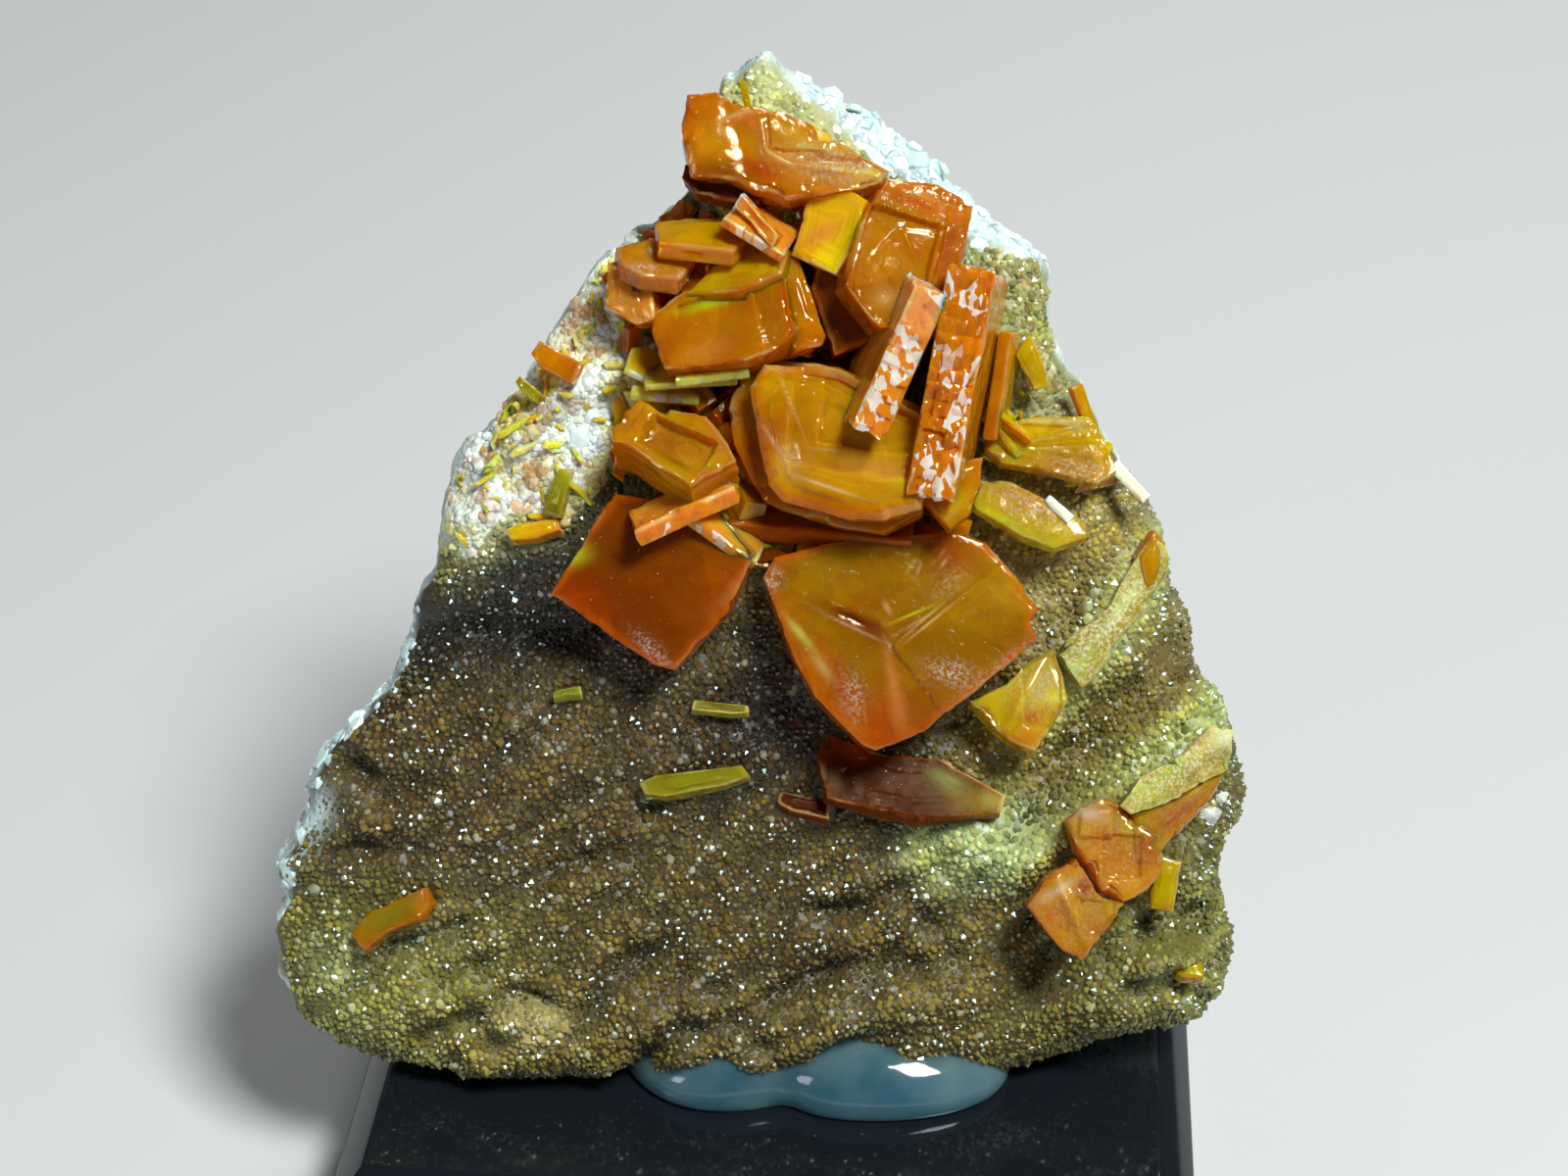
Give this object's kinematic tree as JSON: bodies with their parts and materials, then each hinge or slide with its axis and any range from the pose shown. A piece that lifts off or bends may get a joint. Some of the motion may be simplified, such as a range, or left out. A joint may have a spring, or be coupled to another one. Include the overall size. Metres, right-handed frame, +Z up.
{
  "type": "mineral specimen",
  "caption": "Orange wulfenite tablets on a leaning slab of drusy quartz, set in clear putty on a square dark acrylic base.",
  "frame": {"origin": "middle of the acrylic base's underside", "axes": "+Z up, +X to the right of a viewer who faces the crystals, +Y away from that viewer"},
  "size_m": [0.0431, 0.0382, 0.0484],
  "materials": {
    "drusy_quartz": "sparkling brown druse over white quartz",
    "wulfenite": "clear orange, adamantine gloss",
    "putty": "milky and wet-looking",
    "acrylic": "polished"
  },
  "bodies": {
    "root": {"matrix": "drusy_quartz", "crown_cluster": "wulfenite", "central_cluster": "wulfenite", "amber_cluster": "wulfenite", "amber_corner_tablet": "wulfenite", "small_upright_tablet": "wulfenite", "thin_edge_tablet": "wulfenite", "reddish_tablet": "wulfenite", "right_bar": "wulfenite", "lower_right_cluster": "wulfenite", "lower_right_needle": "wulfenite", "lower_right_chip": "wulfenite", "left_flake": "wulfenite", "yellow_needle": "wulfenite", "small_red_needle": "wulfenite", "green_needle": "wulfenite", "short_green_needle": "wulfenite", "left_amber_flake": "wulfenite", "left_amber_blade": "wulfenite", "broken_tablet": "wulfenite", "broken_chip": "wulfenite", "right_edge_blade": "wulfenite", "putty": "putty", "base": "acrylic"}
  },
  "joints": []
}
